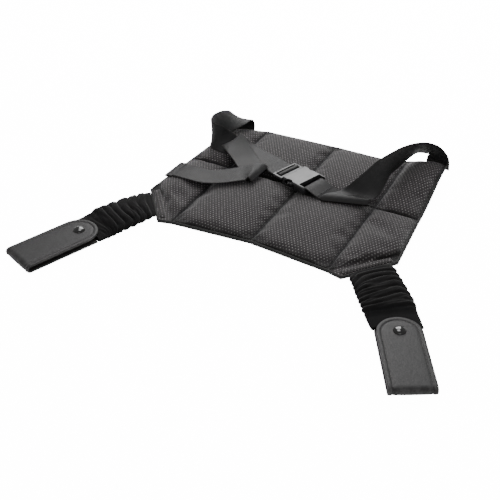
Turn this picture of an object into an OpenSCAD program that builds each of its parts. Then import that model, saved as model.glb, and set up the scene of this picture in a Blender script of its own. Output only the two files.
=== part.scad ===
// Seat-belt positioner: a quilted seat pad with a back strap and buckle, and two
// elastic arms that end in folded leather loops for a car's lap belt.
// The pad's underside lies on Z = 0, its front edge faces -Y, and X runs across it.

/* [Pad] */
// Distance of the two outer seams from the middle
seam_x = 118; // [110:1:122]
// Height of the quilted panels above their seams
crown_h = 12; // [8:1:14]
// Thickness of the base fabric and of the mesh cover
cloth_t = 1.4; // [1:0.1:1.8]
// How far the strap lifts the rear right corner
corner_lift = 20; // [10:1:24]

/* [Arms] */
// Width of the ruched sleeves
sleeve_w = 65; // [50:1:68]
// Thickness of the ruched sleeves at their fullest
sleeve_t = 16; // [12:1:17]
// Length of each leather loop, from its round tip to its far fold
flap_l = 116; // [106:1:120]
// Width of the leather loops
flap_w = 56; // [50:1:58]
// Thickness of one layer of leather
leather_t = 1.5; // [1.2:0.1:1.6]
// Free height inside the loop, for the lap belt
belt_gap = 5.6; // [5.4:0.1:6]
// Diameter of the press snap's cap
snap_d = 16; // [14:1:18]

/* [Back strap] */
// Width of the webbing
strap_w = 38; // [37:1:38]
// Thickness of the webbing
strap_t = 1.5; // [1.2:0.1:1.6]
// Width of the buckle's housing
buckle_w = 48; // [47:1:50]
// Thickness of the buckle's housing
buckle_t = 12; // [11.6:0.2:12.4]

/* [Hidden] */
$fn = 48;
gap = 0.3;                 // clearance between pieces that move apart
steps = 6;                 // grid steps along each side of a panel
cross_y = 12;              // the seam that crosses the pad
layer_gap = 0.5;           // free space above and below the foam

// Corner points of the eight panels, from left to right
rear = [[-173, 124], [-seam_x, 142], [0, 147], [seam_x, 147], [177, 142]];
mid = [[-182, cross_y], [-seam_x, cross_y], [0, cross_y], [seam_x, cross_y], [182, cross_y]];
front = [[-190, -92], [-seam_x, -150], [0, -140], [seam_x, -150], [190, -92]];
tab_in = [138, -155];      // inner corner of the right tab; the outer one is front[4]
tab_side = [188.7, -75];   // where the right tab's inner line meets the pad's side

// Arms: where each one leaves its tab, where its loop's tip lies, and the loop's heading
arm_root = [[-166, -126], [166, -126]];
arm_tip = [[-204, -213], [231, -206]];
arm_heading = [-117, -50];
flap_heading = [-111, -60.5];
tab_turn = [-49.5, 49.5];    // headings of the tabs' edges
band_z = 2*cloth_t + 2*layer_gap + 0.2;
root_gap = 0.5;
flap_z = 0.4;              // underside of the loop, on the rivet's head
fold_r = belt_gap/2;       // inner radius of the far fold
base_top = flap_z + 2*leather_t;
cover_z = base_top + belt_gap;
base_start = 14;           // the base begins this far behind the round tip
snap_s = 25;               // from the round tip to the snap
shank_r = 1.9;             // of the snap's rivets
stud_r = 2.6;
dome_r = (pow(snap_d/2, 2) + 16)/8;
wall = 2.2;                // of the buckle's housing

// Buckle: its middle, height of its underside and heading
buckle_at = [-3, 16, 13.5];
buckle_turn = -20;

function lerp(a, b, t) = a + (b - a)*t;
function clamp(t) = min(1, max(0, t));
function smooth(t) = let(c = clamp(t)) c*c*(3 - 2*c);
function unit(v) = v/norm(v);
function aim(az, el) = [cos(az)*cos(el), sin(az)*cos(el), sin(el)];

// ---- pad ----
function lift(p) = corner_lift*smooth((p[0] - 80)/95)*smooth((p[1] - 20)/118);
function crown(u, v) = pow(max(0, 16*u*(1 - u)*v*(1 - v)), 0.4);
function flip(p) = [-p[0], p[1]];
// Panel edges: row 0 is the rear row, row 1 the front row, and row 2 the flat tabs
line_a = [for (c = [0:4]) c == 0 ? flip(tab_side) : c == 4 ? tab_side : front[c]];
function low_edge(row, col, u) = row == 0 ? lerp(mid[col], mid[col + 1], u) :
  row == 1 ? lerp(line_a[col], line_a[col + 1], u) :
  col == 0 ? lerp(front[0], flip(tab_in), u) : lerp(tab_in, front[4], u);
function high_edge(row, col, u) = row == 0 ? lerp(rear[col], rear[col + 1], u) :
  low_edge(row - 1, col, u);
function panel(row, col, u, v) = lerp(low_edge(row, col, u), high_edge(row, col, u), v);
patches = concat([for (row = [0, 1], col = [0:3]) [row, col]], [[2, 0], [2, 3]]);

// A closed sheet over one panel between two heights given as z = base + rise*crown
module panel_sheet(row, col, base, rise, thick, thick_rise, inset = 0) {
  n = steps + 1;
  grid = [for (j = [0:steps], i = [0:steps])
    let(rim = i == 0 || j == 0 || i == steps || j == steps,
        u = max(inset, min(1 - inset, i/steps)), v = max(inset, min(1 - inset, j/steps)),
        p = panel(row, col, u, v), c = rim || row == 2 ? 0 : crown(u, v))
    [p[0], p[1], lift(p) + base + rise*c, thick + thick_rise*c]];
  low = [for (g = grid) [g[0], g[1], g[2]]];
  top = [for (g = grid) [g[0], g[1], g[2] + g[3]]];
  m = n*n;
  rim = concat([for (i = [0:steps - 1]) i], [for (j = [0:steps - 1]) j*n + steps],
    [for (i = [0:steps - 1]) m - 1 - i], [for (j = [0:steps - 1]) (steps - j)*n]);
  faces = concat(
    [for (j = [0:steps - 1], i = [0:steps - 1], h = [0, 1]) let(a = j*n + i)
      h == 0 ? [a, a + 1, a + n + 1] : [a, a + n + 1, a + n]],
    [for (j = [0:steps - 1], i = [0:steps - 1], h = [0, 1]) let(a = m + j*n + i)
      h == 0 ? [a, a + n + 1, a + 1] : [a, a + n, a + n + 1]],
    [for (k = [0:len(rim) - 1], h = [0, 1]) let(a = rim[k], b = rim[(k + 1)%len(rim)])
      h == 0 ? [a, b + m, b] : [a, a + m, b + m]]);
  polyhedron(concat(low, top), faces);
}

module base_fabric()
  color("#1d1c1c") for (p = patches) panel_sheet(p[0], p[1], 0, 0, cloth_t, 0);

module mesh_cover()
  color("#3b3838") for (p = patches)
    panel_sheet(p[0], p[1], cloth_t + 2*layer_gap, crown_h, cloth_t, 0);

module foam(row, col)
  color("#8a8784") panel_sheet(row, col, cloth_t + layer_gap/2, 0, 0.2, crown_h, 0.03);

outline = concat([for (c = [0:4]) rear[c]], [mid[4], front[4], tab_in],
  [front[3], front[2], front[1]], [[-tab_in[0], tab_in[1]], front[0], mid[0]]);
function outward(i) = let(n = len(outline),
  a = unit(outline[i] - outline[(i + n - 1)%n]), b = unit(outline[(i + 1)%n] - outline[i]),
  s = a + b, k = 1/(1 + a*b)) [-s[1], s[0]]*k;

// A band round the pad's rim, just outside the cloth
module edge_binding() {
  band = [[0.1, 0.2], [2.4, 0.2], [2.4, 4.6], [0.1, 4.6]];
  n = len(outline);
  pts = [for (i = [0:n - 1], b = band)
    let(p = outline[i], q = p + outward(i)*b[0]) [q[0], q[1], lift(p) + b[1]]];
  faces = [for (i = [0:n - 1], k = [0:3], h = [0, 1])
    let(a = i*4 + k, b = i*4 + (k + 1)%4, c = ((i + 1)%n)*4 + k, d = ((i + 1)%n)*4 + (k + 1)%4)
    h == 0 ? [a, b, d] : [a, d, c]];
  color("#141414") polyhedron(pts, faces);
}

module thread_line(a, b, z) {
  n = 8;
  side = unit([a[1] - b[1], b[0] - a[0]])*0.4;
  pts = [for (k = [0:n]) let(p = lerp(a, b, k/n), h = lift(p) + z)
    each [[p[0] - side[0], p[1] - side[1], h], [p[0] + side[0], p[1] + side[1], h],
          [p[0] + side[0], p[1] + side[1], h + 0.6], [p[0] - side[0], p[1] - side[1], h + 0.6]]];
  polyhedron(pts, tube_faces(n + 1, 4));
}

// Both sides of a twisted strip are split along the same diagonal, which keeps its thickness
function tube_faces(rings, sides) = concat(
  [[for (k = [0:sides - 1]) k]],
  [for (i = [0:rings - 2], k = [0:sides - 1], h = [0, 1])
    let(a = i*sides + k, b = i*sides + (k + 1)%sides, near = k < sides/2)
    h == 0 ? [a, a + sides, near ? b + sides : b] : [near ? a : a + sides, b + sides, b]],
  [[for (k = [sides - 1:-1:0]) (rings - 1)*sides + k]]);

module seam_threads() {
  z = 2*cloth_t + 2*layer_gap + 0.6;
  color("#101010") {
    for (c = [1:3]) thread_line(lerp(rear[c], mid[c], 0.02), lerp(front[c], mid[c], 0.02), z);
    for (c = [0:3]) thread_line(lerp(mid[c], mid[c + 1], 0.02), lerp(mid[c], mid[c + 1], 0.98), z);
  }
}

// ---- tabs ----
// Places a piece on a tab: X along the tab's edge, Y outward from the pad
module at_tab(side) {
  ends = side == 0 ? [front[0], [-tab_in[0], tab_in[1]]] : [tab_in, front[4]];
  turn = atan2(ends[1][1] - ends[0][1], ends[1][0] - ends[0][0]);
  c = (ends[0] + ends[1])/2;
  translate([c[0], c[1], 0]) rotate(turn) mirror([0, 1, 0]) children();
}

module tab_band(side)
  color("#343131") at_tab(side) translate([-37, -11.5, band_z]) cube([74, 9, 1.2]);

module tab_stitches(side)
  color("#0e0e0e") at_tab(side) for (row = [-10, -4])
    translate([-36, row - 0.4, band_z + 1.2]) cube([72, 0.8, 0.5]);

// ---- arms ----
// One cross section of a soft tube: a flattened ring of points about a centre line
function soft_ring(c, turn, w, h) = [for (k = [0:11]) let(a = k*30,
  x = pow(abs(cos(a)), 0.7)*sign(cos(a))*w/2, z = pow(abs(sin(a)), 0.7)*sign(sin(a))*h/2)
  [c[0] + x*cos(turn), c[1] + x*sin(turn), c[2] + z]];

// Cross sections along an arm as [share of its length, width, height, underside]
sleeve_form = [[0, 1, 0.36, 2.2], [0.16, 1, 0.78, 1], [0.35, 1, 1, 0.5], [0.68, 1.04, 1, 0.5],
  [0.84, 1, 0.5, 0.6], [1, 0.96, 0.42, 1]];
bore_form = [[-0.01, 0.86, 0.22, 3.4], [0.16, 0.88, 0.4, 3.2], [0.35, 0.9, 0.4, 3.6], [0.68, 0.92, 0.4, 3.4],
  [0.84, 0.88, 0.3, 2.4], [1.01, 0.86, 0.24, 2.8]];

function aim2(a) = [cos(a), sin(a)];
function arm_start(side) = arm_root[side] + root_gap*aim2(arm_heading[side]);
function arm_end(side) = arm_tip[side] + (base_start - 0.5 - gap)*aim2(flap_heading[side]);
module soft_tube(side, form) {
  a = arm_start(side);
  b = arm_end(side);
  turn = [tab_turn[side], arm_heading[side] + 90, flap_heading[side] + 90];
  rings = [for (f = form) let(p = lerp(a, b, f[0]),
    t = f[0] < 0.5 ? lerp(turn[0], turn[1], clamp(f[0]*2)) : lerp(turn[1], turn[2], clamp(f[0]*2 - 1)))
    each soft_ring([p[0], p[1], f[3] + sleeve_t*f[2]/2], t, sleeve_w*f[1], sleeve_t*f[2])];
  polyhedron(rings, tube_faces(len(form), 12));
}

module sleeve(side)
  color("#0c0c0d") difference() {
    soft_tube(side, sleeve_form);
    soft_tube(side, bore_form);
  }

module elastic(side) {
  a = arm_start(side) + 3*aim2(arm_heading[side]);
  b = arm_end(side) - 1*aim2(flap_heading[side]);
  turn = atan2(b[1] - a[1], b[0] - a[0]);
  color("#2a2a2c") translate([a[0], a[1], 4.6]) rotate(turn)
    translate([0, -18, 0]) cube([norm(b - a), 36, 1.2]);
}

// ---- leather loops ----
// Places a piece on a loop: X from the round tip towards the far fold
module at_flap(side) translate([arm_tip[side][0], arm_tip[side][1], 0]) rotate(flap_heading[side]) children();

module strip_shape(inset = 0) {
  r = flap_w/2 - inset;
  translate([flap_w/2, 0]) circle(r, $fn = 96);
  translate([flap_w/2, -r]) square([flap_l - flap_w/2 - inset, 2*r]);
}

module snap_hole() translate([snap_s, 0, -1]) cylinder(h = 40, r = shank_r + 0.1);

module base_layer(z) difference() {
  translate([base_start, -flap_w/2, z]) cube([flap_l - base_start, flap_w, leather_t]);
  snap_hole();
}

module cover_layer(z) difference() {
  translate([0, 0, z]) linear_extrude(leather_t) intersection() {
    strip_shape();
    translate([-1, -flap_w]) square([flap_l + 1 - gap, 2*flap_w]);
  }
  snap_hole();
}

module flap_base(side) color("#3a3939") at_flap(side) base_layer(flap_z);
module flap_lining(side) color("#2b2a2a") at_flap(side) base_layer(flap_z + leather_t);
module cover_lining(side) color("#2b2a2a") at_flap(side) cover_layer(cover_z);
module cover(side) color("#403f3f") at_flap(side) cover_layer(cover_z + leather_t);

// The turn of leather at the far end, open by a hair where it meets the cover
module flap_fold(side)
  color("#3a3939") at_flap(side) translate([flap_l, flap_w/2, base_top + fold_r]) rotate([90, 0, 0])
    linear_extrude(flap_w) difference() {
      circle(fold_r + 2*leather_t);
      circle(fold_r);
      translate([-20, -20]) square([20, 40]);
    }

module cover_stitches(side)
  color("#171717") at_flap(side) translate([0, 0, cover_z + 2*leather_t])
    linear_extrude(0.4) difference() {
      strip_shape(5);
      strip_shape(6);
    }

module snap_cap(side)
  color("#0b0b0b") at_flap(side) translate([snap_s, 0, cover_z + 2*leather_t]) {
    rotate_extrude($fn = 72) intersection() {
      translate([0, 4 - dome_r]) circle(dome_r, $fn = 180);
      square([snap_d/2, 6]);
    }
    translate([0, 0, -2*leather_t]) cylinder(h = 2*leather_t + 0.1, r = shank_r);
  }

module snap_socket(side)
  color("#202020") at_flap(side) translate([snap_s, 0, cover_z - 2.6]) difference() {
    cylinder(h = 2.6, r = 6);
    translate([0, 0, -1]) cylinder(h = 3.1, r = stud_r + 0.3);
  }

module snap_stud(side)
  color("#202020") at_flap(side) translate([snap_s, 0, base_top]) {
    cylinder(h = 1, r = 6);
    cylinder(h = belt_gap - 0.9, r = stud_r);
  }

module snap_rivet(side)
  color("#202020") at_flap(side) translate([snap_s, 0, 0]) {
    cylinder(h = flap_z, r = 6);
    cylinder(h = base_top, r = shank_r);
  }

// ---- webbing ----
// Stations of a ribbon: its middle, then the heading and slope of its width, then half the width.
// At a fold the width follows the crease.
h = strap_w/2;
left_run = [[-157, 126, 9, 200, 0, h], [-158, 132, 15, 196, 4, h], [-159, 131, 23, 190, 8, h],
  [-161, 121, 30, 184, 18, h], [-166, 104, 33, 184, 34, h], [-170, 86, 34.5, 188, 52, h],
  [-173, 68, 35, 200, 72, h], [-170, 51, 35, 110, 80, h], [-158, 44, 33, 95, 62, h],
  [-144, 48, 26.5, 88, 38, h], [-128, 52, 19.2, 80, 12, h], [-108, 49, 17.4, 76, 2, h],
  [-80, 41, 16.8, 73, 0, h], [-52, 33, 16.2, 71, 0, h], [-36, 28, 15, 70, 0, h],
  [-24.5, 23.8, 14.9, 70, 0, h], [-21.3, 22.7, 17.5, 70, 0, h], [-21.3, 22.7, 21.3, 70, 0, h]];
tail_out = [[-21.6, 22.8, 22.5, 70, 0, h], [-25.1, 24, 22.6, 70, 0, h], [-27.8, 25, 22.1, 70, 0, h],
  [-28.8, 25.4, 19.5, 70, 0, h], [-30.6, 26, 16.7, 70, 0, h], [-38, 28.7, 16.7, 70, 0, h],
  [-58, 36, 18.3, 71, 0, h], [-84, 43, 18.9, 74, 0, h],
  [-110, 50, 22.6, 76, 0, h], [-131.5, 49.5, 29, 58, 18, h]];
tail_back = [[-131.5, 49.5, 31, 58, 18, h], [-120, 40, 29, 52, 8, h], [-98, 24, 23.5, 50, 0, h],
  [-76, 6, 20.6, 50, 0, h], [-58, -4.5, 19.6, 88, 0, 24.5]];
tail_end = [[-58, -4.5, 21.6, 88, 0, 24.5], [-80, -19, 22.6, 122, 0, h], [-100, -33, 20.6, 114, 0, h],
  [-124, -44, 18.9, 98, 0, h], [-150, -45, 18.4, 90, 0, h], [-170, -42.5, 16, 92, 0, h],
  [-184, -41, 12.8, 96, 0, h]];
right_lead = [[23, 6.5, 22.8, 70, 0, h], [30, 4, 22.6, 70, 0, h], [38, 1.5, 20.4, 72, 0, h],
  [45, 0, 18, 74, 0, h], [80.5, -11, 15.6, 17.1, 0, 34]];
right_run = [[80.5, -11, 18.6, 197, 0, 34], [92, 9, 22, 182, 4, 24], [106, 29, 36, 152, 50, h],
  [109, 51, 40, 188, 64, h], [114, 75, 44, 244, 78, h], [122.5, 97, 47, 290, 78, h],
  [132.5, 121, 47.5, 316, 64, h], [143, 139, 46, 318, 50, h], [155.5, 144.5, 43, 322, 42, h],
  [163, 145, 36, 334, 28, h], [164, 147, 25, 346, 8, h]];

function heading_at(s, i) = let(a = s[max(i - 1, 0)], b = s[min(i + 1, len(s) - 1)])
  unit([b[0] - a[0], b[1] - a[1], b[2] - a[2]]);
function across(s, i) = let(t = heading_at(s, i), w = aim(s[i][3], s[i][4]))
  s[i][5] == h ? unit(w - (w*t)*t) : w;
module ribbon(s) {
  pts = [for (i = [0:len(s) - 1]) let(p = [s[i][0], s[i][1], s[i][2]], w = across(s, i),
    n = unit(cross(heading_at(s, i), w))*strap_t/2, e = w*s[i][5])
    each [p - e - n, p + e - n, p + e + n, p - e + n]];
  polyhedron(pts, tube_faces(len(s), 4));
}

module left_webbing() color("#5a5a5c") ribbon(left_run);
module right_webbing() color("#6a6a6c") {
  ribbon(right_lead);
  ribbon(right_run);
}
module webbing_tail() color("#707072") {
  ribbon(tail_out);
  ribbon(tail_back);
  ribbon(tail_end);
}
module tail_hem()
  color("#808082") translate([-187.1, -41, 11]) rotate(-6) translate([0, -h, 0]) cube([2.6, 2*h, 2.8]);
module box_stitch()
  color("#1a1a1a") translate([45, 0, 19.1]) rotate([0, 12, -16]) translate([-0.5, 2 - h, 0]) cube([1, 2*h - 4, 0.5]);

// ---- buckle ----
// X along the buckle from the adjuster to the housing's bar, Y across, Z up from its underside
module at_buckle() translate(buckle_at) rotate(buckle_turn) children();

module rounded_plate(x0, x1, w, r) {
  translate([x0 + r, -w/2]) square([x1 - x0 - 2*r, w]);
  translate([x0, -w/2 + r]) square([x1 - x0, w - 2*r]);
  for (x = [x0 + r, x1 - r], y = [-w/2 + r, w/2 - r]) translate([x, y]) circle(r);
}

module buckle_housing() {
  cave = buckle_t - 2*wall;
  color("#2c2c2e") at_buckle() difference() {
    linear_extrude(buckle_t) rounded_plate(-12, 33, buckle_w, 3);
    translate([-13, -buckle_w/2 + wall, wall]) cube([29, buckle_w - 2*wall, cave]);
    for (s = [-1, 1]) {
      translate([-6, s*(buckle_w/2 - 1) - 4, wall]) cube([19, 8, cave]);
      translate([3, s*(buckle_w/2 + 4), -1]) cylinder(h = buckle_t + 2, r = 8);
    }
    translate([20.5, -strap_w/2 - 1.5, -1]) cube([6.5, strap_w + 3, buckle_t + 2]);
    translate([20, -strap_w/2 - 1.5, 8.2]) cube([14, strap_w + 3, buckle_t]);
  }
}

module buckle_frame()
  color("#232325") at_buckle() {
    translate([0, 0, 4]) linear_extrude(4) difference() {
      rounded_plate(-33, -13.5, 46, 2);
      for (x = [-29.5, -21.5]) translate([x, -strap_w/2 - 1]) square([4, strap_w + 2]);
    }
    translate([-14, -5, 4.6]) cube([26, 10, 2.8]);
    for (s = [-1, 1]) translate([-14, s*15 - 3.4, 4.2]) cube([3, 6.8, 3.6]);
  }

// A sprung side arm whose head fills the housing's window
module prong(s)
  color("#232325") at_buckle() translate([0, 0, 4.2]) linear_extrude(3.6) {
    translate([-10.6, s*16.6 - 1.6]) square([16, 3.2]);
    intersection() {
      translate([4, s*14.6]) circle(8.6);
      translate([-2, s > 0 ? 15 : -15 - 8.2]) square([14, 8.2]);
    }
  }

base_fabric();
mesh_cover();
edge_binding();
seam_threads();
foam(0, 0);  // foam_rear_1
foam(0, 1);  // foam_rear_2
foam(0, 2);  // foam_rear_3
foam(0, 3);  // foam_rear_4
foam(1, 0);  // foam_front_1
foam(1, 1);  // foam_front_2
foam(1, 2);  // foam_front_3
foam(1, 3);  // foam_front_4
tab_band(0);  // left_tab_band
tab_stitches(0);  // left_tab_stitches
elastic(0);  // left_elastic
sleeve(0);  // left_sleeve
flap_base(0);  // left_flap_base
flap_lining(0);  // left_flap_lining
flap_fold(0);  // left_flap_fold
snap_stud(0);  // left_snap_stud
snap_rivet(0);  // left_snap_rivet
cover(0);  // left_cover
cover_lining(0);  // left_cover_lining
cover_stitches(0);  // left_cover_stitches
snap_cap(0);  // left_snap_cap
snap_socket(0);  // left_snap_socket
tab_band(1);  // right_tab_band
tab_stitches(1);  // right_tab_stitches
elastic(1);  // right_elastic
sleeve(1);  // right_sleeve
flap_base(1);  // right_flap_base
flap_lining(1);  // right_flap_lining
flap_fold(1);  // right_flap_fold
snap_stud(1);  // right_snap_stud
snap_rivet(1);  // right_snap_rivet
cover(1);  // right_cover
cover_lining(1);  // right_cover_lining
cover_stitches(1);  // right_cover_stitches
snap_cap(1);  // right_snap_cap
snap_socket(1);  // right_snap_socket
left_webbing();
webbing_tail();
tail_hem();
right_webbing();
box_stitch();
buckle_housing();
buckle_frame();
prong(-1);  // front_prong
prong(1);  // rear_prong
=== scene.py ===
import math

import bmesh
import bpy
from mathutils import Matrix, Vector, noise


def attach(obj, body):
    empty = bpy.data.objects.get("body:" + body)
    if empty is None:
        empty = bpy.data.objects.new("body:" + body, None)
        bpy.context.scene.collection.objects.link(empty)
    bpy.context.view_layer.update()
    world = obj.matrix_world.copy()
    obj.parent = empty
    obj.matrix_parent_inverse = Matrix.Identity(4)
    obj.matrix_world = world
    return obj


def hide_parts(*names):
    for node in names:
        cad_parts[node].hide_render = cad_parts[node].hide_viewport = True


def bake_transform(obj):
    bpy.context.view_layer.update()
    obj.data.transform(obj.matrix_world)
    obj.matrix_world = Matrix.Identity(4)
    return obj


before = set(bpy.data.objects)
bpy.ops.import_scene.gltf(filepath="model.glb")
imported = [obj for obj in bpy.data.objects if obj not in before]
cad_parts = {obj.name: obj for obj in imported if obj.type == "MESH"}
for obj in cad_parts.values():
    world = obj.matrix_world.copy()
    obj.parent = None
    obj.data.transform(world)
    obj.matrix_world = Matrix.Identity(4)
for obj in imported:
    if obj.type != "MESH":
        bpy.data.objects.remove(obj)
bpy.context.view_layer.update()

mm = 0.001               # every size below is in millimetres
hands = ("left", "right")
scene = bpy.context.scene


# ---------- camera, floor and lights ----------
camera = {"place": (460, -1008, 703), "turn": (54, 0, 28), "lens": 64.4, "sensor": 36}
lights = [
    # name, place, aims at, size, watts
    ("windowLight", (-700, 1500, 1300), (0, 0, 0), 1300, 34),
    ("topLight", (-200, 300, 1900), (0, 0, 0), 900, 14),
    ("frontFill", (900, -1500, 1300), (0, -50, 0), 1200, 4),
]
floor = {"half": 4000, "white": 0.9, "glow": 16.0, "bounce": 0.022}
skyStrength = 0.34


def addObject(name, data):
    obj = bpy.data.objects.new(name, data)
    scene.collection.objects.link(obj)
    return obj


def addCamera():
    data = bpy.data.cameras.new("view")
    data.lens = camera["lens"]
    data.sensor_width = camera["sensor"]
    data.clip_start = 0.05
    data.clip_end = 30
    obj = addObject("view", data)
    obj.location = Vector(camera["place"])*mm
    obj.rotation_euler = [math.radians(a) for a in camera["turn"]]
    scene.camera = obj


addCamera()


def addLights():
    for name, place, target, size, watts in lights:
        data = bpy.data.lights.new(name, "AREA")
        data.energy = watts
        data.size = size*mm
        obj = addObject(name, data)
        obj.location = Vector(place)*mm
        aimAt = (Vector(target) - Vector(place)).normalized()
        obj.rotation_euler = aimAt.to_track_quat("-Z", "Y").to_euler()
    world = bpy.data.worlds.new("studio")
    world.use_nodes = True
    background = world.node_tree.nodes["Background"]
    background.inputs["Color"].default_value = (1, 1, 1, 1)
    background.inputs["Strength"].default_value = skyStrength
    scene.world = world


addLights()
print("stage: camera and lights")


# ---------- shader groups ----------
def addNode(tree, kind, settings=None, **values):
    node = tree.nodes.new(kind)
    for key, value in (settings or {}).items():
        setattr(node, key, value)
    for key, value in values.items():
        socket = node.inputs[int(key[1:])] if key[1:].isdigit() else node.inputs[key.replace("_", " ")]
        if isinstance(value, bpy.types.NodeSocket):
            tree.links.new(value, socket)
        else:
            socket.default_value = value
    return node


def calc(tree, operation, *values, clamp=False):
    named = {f"i{k}": value for k, value in enumerate(values)}
    return addNode(tree, "ShaderNodeMath", {"operation": operation, "use_clamp": clamp}, **named).outputs[0]


def vectorCalc(tree, operation, *values):
    named = {f"i{k}": value for k, value in enumerate(values)}
    return addNode(tree, "ShaderNodeVectorMath", {"operation": operation}, **named).outputs[0]


def rangeMap(tree, value, low, high, start=0.0, end=1.0):
    return addNode(tree, "ShaderNodeMapRange", {"interpolation_type": "SMOOTHSTEP"},
                   i0=value, i1=low, i2=high, i3=start, i4=end).outputs[0]


def mixColor(tree, share, first, second, blend="MIX"):
    node = addNode(tree, "ShaderNodeMix", {"data_type": "RGBA", "blend_type": blend},
                   i0=share, i6=first, i7=second)
    return node.outputs[2]


def times(tree, first, second):
    return calc(tree, "MULTIPLY", first, second)


def plus(tree, first, second, clamp=False):
    return calc(tree, "ADD", first, second, clamp=clamp)


# A group that takes a place and some plain values; gives back its tree, its inputs and its outputs
def makeGroup(name, values, outputs):
    tree = bpy.data.node_groups.new(name, "ShaderNodeTree")
    tree.interface.new_socket("Place", in_out="INPUT", socket_type="NodeSocketVector")
    for label, value in values.items():
        socket = tree.interface.new_socket(label, in_out="INPUT", socket_type="NodeSocketFloat")
        socket.default_value = value
    for label in outputs:
        tree.interface.new_socket(label, in_out="OUTPUT", socket_type="NodeSocketFloat")
    return tree, tree.nodes.new("NodeGroupInput").outputs, tree.nodes.new("NodeGroupOutput").inputs


# Staggered dots of the spacer mesh: light knots, with a shallow rib between them
def makeDots():
    values = {"Pitch": 0.0044, "Row": 0.0036, "Size": 0.16, "Soft": 0.08}
    tree, source, sink = makeGroup("spacerDots", values, ["Dots", "Height"])
    parts = addNode(tree, "ShaderNodeSeparateXYZ", i0=source["Place"])
    across = calc(tree, "DIVIDE", parts.outputs["X"], source["Pitch"])
    along = calc(tree, "DIVIDE", parts.outputs["Y"], source["Row"])
    odd = times(tree, calc(tree, "FLOORED_MODULO", calc(tree, "FLOOR", along), 2.0), 0.5)
    dx = calc(tree, "SUBTRACT", calc(tree, "FRACT", plus(tree, across, odd)), 0.5)
    dy = calc(tree, "SUBTRACT", calc(tree, "FRACT", along), 0.5)
    both = addNode(tree, "ShaderNodeCombineXYZ", X=dx, Y=times(tree, dy, 0.82))
    far = addNode(tree, "ShaderNodeVectorMath", {"operation": "LENGTH"}, i0=both.outputs[0]).outputs["Value"]
    edge = plus(tree, source["Size"], source["Soft"])
    dots = rangeMap(tree, far, edge, source["Size"])
    rib = times(tree, calc(tree, "COSINE", times(tree, far, 9.0)), 0.5)
    tree.links.new(dots, sink["Dots"])
    tree.links.new(rib, sink["Height"])
    return tree


# Crosswise ribs with a fine warp running along: webbing, elastic, binding and plain cloth
def makeRibs():
    tree, source, sink = makeGroup("ribWeave", {"Rib": 0.0016, "Warp": 0.0008}, ["Height", "Tone"])
    parts = addNode(tree, "ShaderNodeSeparateXYZ", i0=source["Place"])
    turns = 2*math.pi
    along = times(tree, calc(tree, "DIVIDE", parts.outputs["Y"], source["Rib"]), turns)
    across = times(tree, calc(tree, "DIVIDE", parts.outputs["X"], source["Warp"]), turns)
    rib = calc(tree, "SINE", along)
    warp = calc(tree, "SINE", plus(tree, across, times(tree, along, 0.5)))
    height = plus(tree, times(tree, rib, 0.5), times(tree, warp, 0.35))
    tone = plus(tree, 0.5, times(tree, height, 0.5), clamp=True)
    tree.links.new(height, sink["Height"])
    tree.links.new(tone, sink["Tone"])
    return tree


# Slow changes of shade with a little lint on top
def makeLint():
    tree, source, sink = makeGroup("shadeAndLint", {"Scale": 30.0, "Lint": 0.5}, ["Shade", "Lint"])
    slow = addNode(tree, "ShaderNodeTexNoise", Vector=source["Place"],
                   Scale=source["Scale"], Detail=3.0, Roughness=0.55)
    tree.links.new(slow.outputs["Fac"], sink["Shade"])
    specks = addNode(tree, "ShaderNodeTexNoise", Vector=source["Place"], Scale=900.0, Detail=2.0)
    mask = rangeMap(tree, specks.outputs["Fac"], 0.66, 0.78)
    tree.links.new(times(tree, mask, source["Lint"]), sink["Lint"])
    return tree


# Pebbled grain of coated leather or moulded texture
def makeGrain():
    tree, source, sink = makeGroup("grain", {"Scale": 700.0}, ["Height", "Tone"])
    cells = addNode(tree, "ShaderNodeTexVoronoi", {"feature": "F1"}, Vector=source["Place"],
                    Scale=source["Scale"], Randomness=1.0)
    fine = addNode(tree, "ShaderNodeTexNoise", Vector=source["Place"],
                   Scale=times(tree, source["Scale"], 1.7), Detail=4.0)
    pebble = calc(tree, "SUBTRACT", 1.0, cells.outputs["Distance"])
    height = plus(tree, times(tree, pebble, 0.7),
                  times(tree, fine.outputs["Fac"], 0.5))
    tree.links.new(height, sink["Height"])
    tree.links.new(rangeMap(tree, height, 0.3, 1.0), sink["Tone"])
    return tree


# Where edges are rubbed lighter
def makeRub():
    tree, source, sink = makeGroup("edgeRub", {"Start": 0.52, "Full": 0.6}, ["Mask"])
    bend = addNode(tree, "ShaderNodeNewGeometry").outputs["Pointiness"]
    edge = rangeMap(tree, bend, source["Start"], source["Full"])
    patchy = addNode(tree, "ShaderNodeTexNoise", Vector=source["Place"], Scale=120.0, Detail=4.0)
    broken = rangeMap(tree, patchy.outputs["Fac"], 0.38, 0.62)
    tree.links.new(times(tree, edge, broken), sink["Mask"])
    return tree


dotGroup, ribGroup, lintGroup = makeDots(), makeRibs(), makeLint()
grainGroup, rubGroup = makeGrain(), makeRub()


def useGroup(tree, group, **values):
    return addNode(tree, "ShaderNodeGroup", {"node_tree": group}, **values)


def startMaterial(name, laid=True, **constants):
    material = bpy.data.materials.new(name)
    material.use_nodes = True
    tree = material.node_tree
    shader = tree.nodes["Principled BSDF"]
    for key, value in constants.items():
        shader.inputs[key.replace("_", " ")].default_value = value
    if laid:
        place = addNode(tree, "ShaderNodeUVMap", {"uv_map": "lay"}).outputs[0]
    else:
        place = addNode(tree, "ShaderNodeTexCoord").outputs["Object"]
    return material, tree, shader, place


def finishMaterial(tree, shader, color, rough, height, strength, distance):
    tree.links.new(color, shader.inputs["Base Color"])
    tree.links.new(rough, shader.inputs["Roughness"])
    bump = addNode(tree, "ShaderNodeBump", Height=height, Strength=strength, Distance=distance)
    tree.links.new(bump.outputs[0], shader.inputs["Normal"])


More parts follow.
